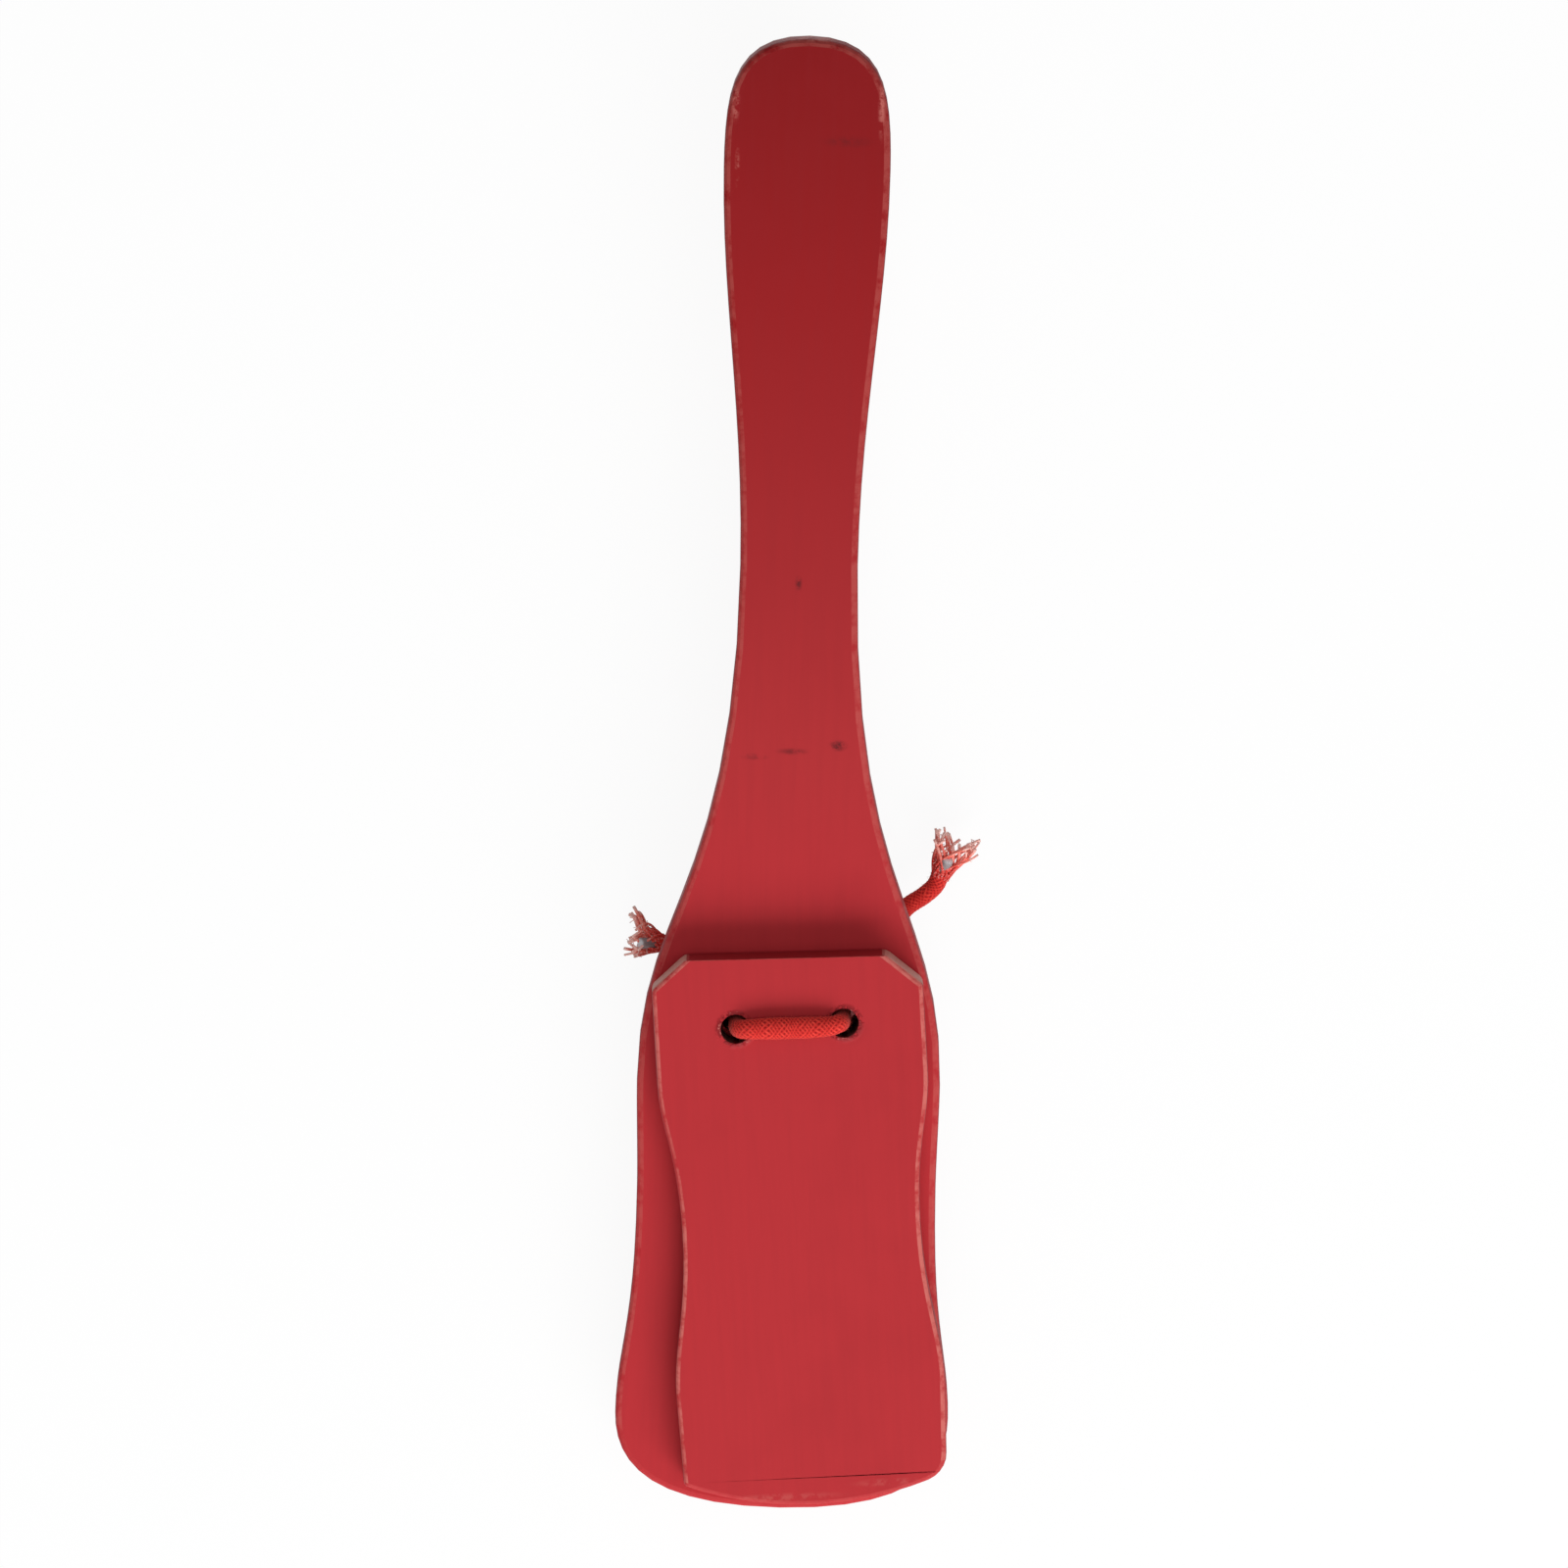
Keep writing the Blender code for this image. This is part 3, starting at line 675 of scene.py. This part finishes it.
def frayed_end(name, start, direction, length, width, lobes, count, seed, look):
    """The opened sleeve: crossing yarns that flare out, and run longer towards the lobes."""
    chance = random.Random(seed)
    side = direction.orthogonal().normalized()
    other = direction.cross(side)
    verts, faces, shades = [], [], []
    for index in range(count):
        first = 2 * math.pi * index / count
        wind = (1 if index % 2 else -1) * chance.uniform(1.3, 2.1)
        reach = length * chance.uniform(0.62, 1.0)
        flare = width / 2 * chance.uniform(0.55, 1.05)
        points, own_shades = [], []
        for step in range(YARN_STEPS + 1):
            t = step / YARN_STEPS
            out = CORD_RADIUS * 0.86 + (flare - CORD_RADIUS) * t**1.35
            wave = YARN_WAVE * math.sin(7 * t + index)
            away = heading(side, other, first + wind * t)
            point = start + direction * (reach * t - YARN_START) + away * (out + wave)
            for toward, gain in lobes:
                pull = max(0.0, away.dot(toward)) ** 3
                point = point + toward * (gain * pull * t**1.6)
            points.append(point)
            own_shades.append(min(1.0, 0.10 + 0.95 * t * chance.uniform(0.8, 1.1)))
        add_yarn(verts, faces, shades, points, chance.uniform(*YARN_RADII), own_shades, 6)
        for _ in range(WISPS):
            root = points[chance.randrange(YARN_STEPS // 2, YARN_STEPS)]
            aim = Vector([chance.uniform(-1, 1) for _ in range(3)]).normalized()
            jump = aim * chance.uniform(*WISP_JUMPS)
            wisp = [root, root + jump * 0.5 + direction * 0.0002, root + jump + direction * 0.0003]
            add_yarn(verts, faces, shades, wisp, WISP_RADIUS, (0.8, 0.95, 1.0), 4)
    return mesh_piece(name, verts, faces, shades, look)


def core_end(name, start, direction, look):
    """The rubber core's cut end, slightly domed, with a darker edge."""
    side = direction.orthogonal().normalized()
    other = direction.cross(side)
    rings = [
        (-0.0012, 1.0, 0.1),
        (CORE_LENGTH - 0.0003, 1.0, 0.15),
        (CORE_LENGTH - 0.0001, 0.93, 0.35),
        (CORE_LENGTH, 0.78, 0.8),
        (CORE_LENGTH + 0.00005, 0.4, 1.0),
    ]
    verts, shades = [], []
    for along, scale, shade in rings:
        for angle in ring_angles(CORE_SIDES):
            ripple = 1 + 0.05 * math.sin(3 * angle)
            away = heading(side, other, angle)
            verts.append(start + direction * along + away * (CORE_RADIUS * scale * ripple))
            shades.append(shade)
    faces = tube_faces(0, len(rings) - 1, CORE_SIDES)
    return mesh_piece(name, verts, faces, shades, look)


# Painted wood on the CAD's own plates: centre, radii and strength of each spot
PADDLE_MARKS = [
    ((-0.0061, 0.0400), (0.0026, 0.0007), 0.55),
    ((-0.0004, 0.0409), (0.0030, 0.0007), 0.60),
    ((0.0064, 0.0419), (0.0018, 0.0011), 0.95),
    ((-0.0108, 0.0395), (0.0008, 0.0013), 0.90),
    ((0.0000, 0.0665), (0.0007, 0.0018), 0.75),
    ((0.0060, 0.1330), (0.0050, 0.0012), 0.35),
]
PADDLE_SCRATCHES = [
    ((-0.0108, 0.1385), (0.0008, 0.0036), 0.57),
    ((-0.0104, 0.1290), (0.0005, 0.0040), 0.36),
    ((0.0109, 0.1382), (0.0007, 0.0060), 0.54),
    ((0.0173, 0.0176), (0.0006, 0.0016), 0.60),
    ((0.0000, 0.1482), (0.0100, 0.0007), 0.48),
]
PLATE_MARKS = [((0.0090, -0.0010), (0.0040, 0.0030), 0.20)]
PLATE_SCRATCHES = [
    ((-0.0060, -0.0727), (0.0130, 0.0009), 0.18),
    ((0.0110, -0.0712), (0.0070, 0.0008), 0.18),
]
PLATE_CUTS = [(0.0045, 0.0052, 0), (-0.0045, 0.0052, 0)]
PADDLE_EDGE_WEAR_AND_HIGHLIGHT = 0.22
PLATE_EDGE_WEAR_AND_HIGHLIGHT = 0.62

plate = (OUTER_Z, False, PLATE_CUTS, PLATE_MARKS, PLATE_SCRATCHES, PLATE_EDGE_WEAR_AND_HIGHLIGHT)
wood_looks = {
    "paddle": painted_wood("painted_paddle", BOARD, HALF_BOARD, True, [], PADDLE_MARKS,
                           PADDLE_SCRATCHES, PADDLE_EDGE_WEAR_AND_HIGHLIGHT),
    "front_flapper": painted_wood("painted_front_plate", FRONT, *plate),
    "rear_flapper": painted_wood("painted_rear_plate", REAR, *plate),
}
for node_name, look in wood_looks.items():
    node_object = frame["nodes"][node_name]
    if not node_object.material_slots:
        node_object.data.materials.append(look)
    for slot in node_object.material_slots:
        slot.material = look

# Cord pieces
sleeve = cord_material()
yarns = fray_material()
rubber = rubber_material()

bridge_points = smooth_route(bridge_route(), BRIDGE_SPACING)[0]
bridge_side = FRONT.col[1].to_3d()
bridge = braided_tube("cord_bridge", bridge_points, bridge_side, bridge_size, sleeve, 56, 420, 4)
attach(bridge, "front_flapper")
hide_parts("cord_front_bridge")

for side_name, side_sign in (("left", -1), ("right", 1)):
    for end_name, matrix, towards in (("front", FRONT, 1), ("rear", REAR, -1)):
        leg_name = f"cord_{end_name}_stretch_{side_name}"
        leg = stretch_piece(leg_name, matrix, side_sign, towards, sleeve)
        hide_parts(f"cord_{end_name}_leg_{side_name}")
        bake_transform(leg)

# Each end: name, sign, the fray's length, width and lobes, its number of yarns, its seed
up_page = (BOARD.to_3x3() @ Vector((0.15, 1, 0))).normalized()
left_page = (BOARD.to_3x3() @ Vector((-1, -0.2, 0))).normalized()
right_page = (BOARD.to_3x3() @ Vector((1, 0.35, 0))).normalized()
ends = (
    ("left", -1, 0.0058, 0.0066, [(up_page, 0.0022), (left_page, 0.0010)], 24, 11),
    ("right", 1, 0.0072, 0.0078, [(up_page, 0.0010), (right_page, 0.0012)], 26, 23),
)
for side_name, side_sign, length, width, lobes, count, seed in ends:
    strand_points, strand_length = smooth_route(strand_route(side_sign), STRAND_SPACING)
    strand = braided_tube(f"cord_strand_{side_name}", strand_points, REAR.col[0].to_3d(),
                          round_size, sleeve, 48, 260, seed)
    tip = strand_points[-1]
    out = (tip - strand_points[-6]).normalized()
    fray_name = f"cord_yarns_{side_name}"
    fray = frayed_end(fray_name, tip, out, length, width, lobes, count, seed, yarns)
    lifted = (out + CORE_LIFT * NORMAL).normalized()
    core = core_end(f"rubber_thread_{side_name}", tip, lifted, rubber)
    for piece in (strand, fray, core):
        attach(piece, "rear_flapper")
    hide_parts("cord_knot", f"cord_tail_{side_name}")
    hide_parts(f"cord_fray_{side_name}")
    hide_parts(f"rubber_core_{side_name}")

# Floor and studio: the lights' places and sizes in metres, and their power in watts
FLOOR_SIZE = 3.0
FLOOR_EMISSION = 0.92
UNDER_HOLES = (0.017, 0.014)
WORLD_STRENGTH = 0.33
LIGHTS = (
    ("key_light", (0.34, -0.98, 0.72), (1.2, 0.7), 15.6),
    ("fill_light", (0.25, 0.10, 1.60), (1.0, 1.0), 4.8),
)


def floor_material():
    """A nearly white floor, which the camera sees aglow except under the holes."""
    tree = Tree("pale_floor")
    cloud = tree.noise(tree.place, 9.0, 2.0)
    tree.dress(tree.mix(cloud, (0.93, 0.93, 0.93, 1), (0.95, 0.95, 0.95, 1)), 0.9, 0.0)
    glow = tree.nodes.new("ShaderNodeEmission")
    glow.inputs["Color"].default_value = (1, 1, 1, 1)
    rays = tree.nodes.new("ShaderNodeLightPath")
    seen = tree.math("MAXIMUM", rays.outputs["Is Camera Ray"], rays.outputs["Is Glossy Ray"])
    seen = tree.math("MAXIMUM", seen, rays.outputs["Is Transmission Ray"])
    covered = tree.spot(tree.place, (ORIGIN.x, ORIGIN.y), UNDER_HOLES, 0.7)
    seen = tree.math("MULTIPLY", seen, tree.math("SUBTRACT", 1.0, covered))
    blend = tree.nodes.new("ShaderNodeMixShader")
    tree.put(blend.inputs["Fac"], tree.math("MULTIPLY", seen, FLOOR_EMISSION))
    tree.links.new(tree.shader.outputs["BSDF"], blend.inputs[1])
    tree.links.new(glow.outputs["Emission"], blend.inputs[2])
    output = tree.nodes["Material Output"]
    tree.links.new(blend.outputs["Shader"], output.inputs["Surface"])
    return tree.material


def area_light(name, place, size, power):
    light = bpy.data.lights.new(name, "AREA")
    light.shape = "RECTANGLE"
    light.size, light.size_y = size
    light.energy = power
    obj = bpy.data.objects.new(name, light)
    obj.location = place
    obj.rotation_euler = (-Vector(place)).to_track_quat("-Z", "Y").to_euler()
    bpy.context.scene.collection.objects.link(obj)


half = FLOOR_SIZE / 2
corners = [(-half, -half, 0), (half, -half, 0), (half, half, 0), (-half, half, 0)]
floor = mesh_piece("floor", corners, [(0, 1, 2, 3)], [0, 0, 0, 0], floor_material())

for light in LIGHTS:
    area_light(*light)

world = bpy.data.worlds.new("studio")
world.use_nodes = True
backdrop = world.node_tree.nodes["Background"]
backdrop.inputs["Color"].default_value = (1, 1, 1, 1)
backdrop.inputs["Strength"].default_value = WORLD_STRENGTH
bpy.context.scene.world = world

# Camera
back = Vector((0, math.sin(CAMERA_TILT), math.cos(CAMERA_TILT)))
upward = Vector((0, math.cos(CAMERA_TILT), -math.sin(CAMERA_TILT)))
image_x = Vector((math.cos(CAMERA_ROLL), 0, 0)) + upward * math.sin(CAMERA_ROLL)
image_y = Vector((-math.sin(CAMERA_ROLL), 0, 0)) + upward * math.cos(CAMERA_ROLL)
camera_pose = Matrix((image_x, image_y, back)).transposed().to_4x4()
camera_pose.translation = Vector(TARGET) + back * CAMERA_DISTANCE
camera = bpy.data.objects.new("camera", bpy.data.cameras.new("camera"))
camera.data.lens = CAMERA_LENS
camera.data.sensor_width = CAMERA_SENSOR
camera.data.clip_end = CAMERA_FAR
camera.matrix_world = BOARD @ camera_pose
bpy.context.scene.collection.objects.link(camera)
bpy.context.scene.camera = camera
bpy.context.scene.view_settings.view_transform = "Standard"
